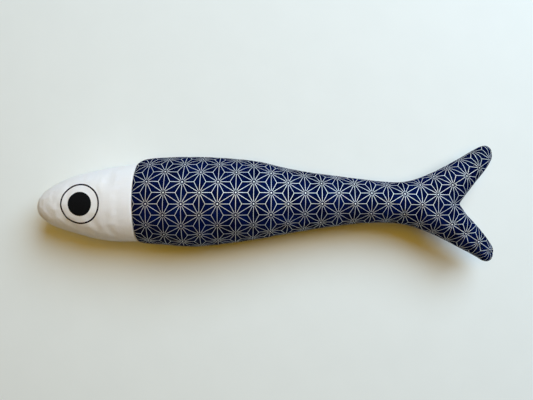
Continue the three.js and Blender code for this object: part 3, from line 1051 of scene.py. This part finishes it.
def tube(path, radius=THREAD_RADIUS, sides=6):
    """Points and faces of a round thread along a path."""
    forward = unit(np.gradient(path, axis=0))
    across = np.empty_like(path)
    last = np.array([0.31, 0.17, 1.0])
    for i, way in enumerate(forward):
        last = unit(last - way * (last @ way))
        across[i] = last
    up = np.cross(forward, across)
    angle = (np.arange(sides) * (2 * math.pi / sides))[None, :, None]
    rings = path[:, None] + radius * (np.cos(angle) * across[:, None] + np.sin(angle) * up[:, None])
    faces = sector_faces(len(path), sides, LEFT)
    end = (len(path) - 1) * sides
    caps = [tuple(range(sides))[BACKWARDS], tuple(range(end, end + sides))]
    return rings.reshape(-1, 3), faces + caps


def stitched(path):
    """Points along a path for a thread, and how far each is swung over by its stitch, -1 to 1."""
    along = distances_along(path)
    at = np.arange(0, along[-1], STITCH_LENGTH / STEPS_PER_STITCH)
    swing = np.cos(np.arange(len(at)) * (math.pi / STEPS_PER_STITCH))
    return np.stack([np.interp(at, along, part) for part in path.T], 1), swing


def make_edge_thread(material):
    """The machine stitches of the long seam: from one end of the gap, by the nose, to the other."""
    body, head = body_ribs(), head_ribs()
    under = body.edge[:, 1] < 0
    before_gap = under & (body.edge[:, 0] < GAP_START_X - GAP_MARGIN)
    after_gap = ~under | (body.edge[:, 0] > GAP_END_X + GAP_MARGIN)
    body_route, head_route = (
        ribs.edge + inward_of(ribs)[:, :2] * (SEAM_DIP + SEAM_DEPTH) for ribs in (body, head)
    )
    route = np.concatenate([body_route[before_gap], head_route, body_route[after_gap]])
    path, swing = stitched(route)
    piece = new_piece(
        "edge_seam_stitches", *tube(np.column_stack([path, MID_Z + STITCH_SWING * swing])), material
    )
    belongs(piece, "sewing_thread", "edge_seam_thread")


def make_neck_thread(side, material):
    """The machine stitches that join the head to the body, over one side of the neck."""
    to_back, to_belly = cross_ribs(HEAD, np.array([NECK_X]))
    angles = np.linspace(NECK_START_ANGLE, math.pi / 2, NECK_STEPS)
    rings = []
    for ribs in (to_back, to_belly):
        width = ribs.edge[0, 1] - ribs.spine[0, 1]
        depth = NECK_DIP + SEAM_DEPTH
        y = ribs.spine[0, 1] + (width - math.copysign(depth, width)) * np.cos(angles)
        rings.append(np.column_stack([y, (ribs.half[0] - depth) * np.sin(angles)]))
    path, swing = stitched(np.concatenate([rings[0], rings[1][BACKWARDS][1:]]))
    route = np.column_stack([NECK_X + STITCH_SWING * swing, path[:, 0], MID_Z + side * path[:, 1]])
    name = "neck_seam_{}_" + SIDE_NAMES[side]
    piece = new_piece(name.format("stitches"), *tube(route), material)
    belongs(piece, "sewing_thread", name.format("thread"))


def make_closing_thread(material):
    """Ladder stitches by hand: rungs over the seam, and runs inside the folded edges."""
    corners = []
    xs = np.linspace(GAP_START_X, GAP_END_X, LADDER_STITCHES * 2)
    for i, (x, y) in enumerate(zip(xs, BODY[1](xs) + SEAM_DIP * 0.6)):
        side = LEFT if (i // 2) % 2 else RIGHT
        ways, out = ((side, -side), RUNG_RISE) if i % 2 else ((side,), -RUN_DEPTH)
        corners += [(x, y - out, MID_Z + way * LADDER_REACH) for way in ways]
    path = spline(corners, np.linspace(0, 1, len(corners) * LADDER_STEPS))
    piece = new_piece("closing_ladder_stitches", *tube(path, HAND_THREAD_RADIUS), material)
    belongs(piece, "sewing_thread", "closing_thread")


# ------------------------------ filling

WAD_GRAIN = 3.5
WAD_HOLLOW = 1.6  # how deep the hollows between its lumps are


def make_wad(node, material):
    """A wad of loose fibre in the room that its CAD solid holds."""
    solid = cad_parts[node]
    piece = bpy.data.objects.new(node.replace("filling", "wad"), solid.data.copy())
    bpy.context.scene.collection.objects.link(piece)
    piece.data.materials.clear()
    piece.data.materials.append(material)
    modify(piece, "REMESH", mode="VOXEL", voxel_size=WAD_GRAIN * MM)
    mesh = piece.data
    mesh.shade_smooth()
    points = places(mesh)
    hollow = 0.5 + 0.4 * noise_over(points / 11) + 0.2 * noise_over(points / 5)
    set_places(mesh, points - normals(mesh) * (WAD_HOLLOW * np.clip(hollow, 0, 1))[:, None])
    belongs(piece, "fibre_filling", node)


# ------------------------------ the fish

HEAD_FLATTEN_ROUNDS, BODY_FLATTEN_ROUNDS = 150, 300

head_form = Form(head_ribs(), -1, HEAD_FLATTEN_ROUNDS)
body_form = Form(body_ribs(), 1, BODY_FLATTEN_ROUNDS)
head_cotton, body_cotton = white_cotton(), printed_cotton()
patch = black_patch()
eye_thread = satin_thread("eye_thread", (0.005, 0.003, 0.008), (0.018, 0.009, 0.022), 0.55, 0.03)
navy_thread = satin_thread("navy_thread", (0.003, 0.005, 0.025), (0.010, 0.016, 0.06), 0.55, 0.05)
fibre = polyester_fibre()

for side, name in SIDE_NAMES.items():
    head_cloth = make_panel(
        f"head_cloth_{name}", head_form, side, head_cotton, f"head_panel_{name}", "head_cloth",
        head_unevenness, {"Weave": weave_map},
    )
    make_panel(
        f"printed_cloth_{name}", body_form, side, body_cotton, f"body_panel_{name}", "printed_cloth",
        body_unevenness, {"Weave": weave_map, "Print": print_map(side)},
    )
    cheek = Surface(head_cloth, side)
    make_pupil(cheek, patch)
    make_eye_ring(cheek, eye_thread)
    make_neck_thread(side, navy_thread)

make_edge_thread(navy_thread)
make_closing_thread(navy_thread)
for part in ("head", "body", "tail_stem", "upper_lobe", "lower_lobe"):
    make_wad(f"{part}_filling", fibre)

# ------------------------------ floor and light

FLOOR_SIZE = 6000
# Each light: its place and its width in metres, its power in watts, and its colour.
LIGHTS = {
    "window": ((1.02, 1.22, 1.75), 2.0, 80, (0.66, 0.84, 1.0)),
    "ceiling": ((-0.1, 0.14, 1.85), 1.1, 11, (1.0, 0.60, 0.06)),
}
BACKDROP = (0.70, 0.76, 0.75)
EVEN_GLOW = (0.015, 0.010, 0.004)


def make_floor():
    half = FLOOR_SIZE / 2
    corners = [(-half, -half, 0), (half, -half, 0), (half, half, 0), (-half, half, 0)]
    floor = new_piece("floor", corners, [(0, 1, 2, 3)], plain_floor())


def make_light(name, place, size, power, colour):
    """A large soft area light that faces the fish."""
    data = bpy.data.lights.new(name, "AREA")
    data.shape = "DISK"
    data.size = size
    data.energy = power
    data.color = colour
    light = bpy.data.objects.new(name, data)
    light.location = place
    light.rotation_euler = (-Vector(place)).to_track_quat("-Z", "Y").to_euler()
    bpy.context.scene.collection.objects.link(light)


def make_world(seen, light):
    """A dim even glow for the fish, and a pale backdrop for the camera beyond the floor."""
    world = bpy.data.worlds.new("studio")
    world.use_nodes = True
    tree = world.node_tree
    mix = tree.nodes.new("ShaderNodeMix")
    mix.data_type = "RGBA"
    tree.links.new(tree.nodes.new("ShaderNodeLightPath").outputs["Is Camera Ray"], mix.inputs[0])
    mix.inputs[6].default_value = (*light, 1)
    mix.inputs[7].default_value = (*seen, 1)
    tree.links.new(mix.outputs[2], tree.nodes["Background"].inputs["Color"])
    bpy.context.scene.world = world


make_floor()
for name, settings in LIGHTS.items():
    make_light(name, *settings)
make_world(BACKDROP, EVEN_GLOW)
bpy.context.scene.view_settings.view_transform = "Standard"
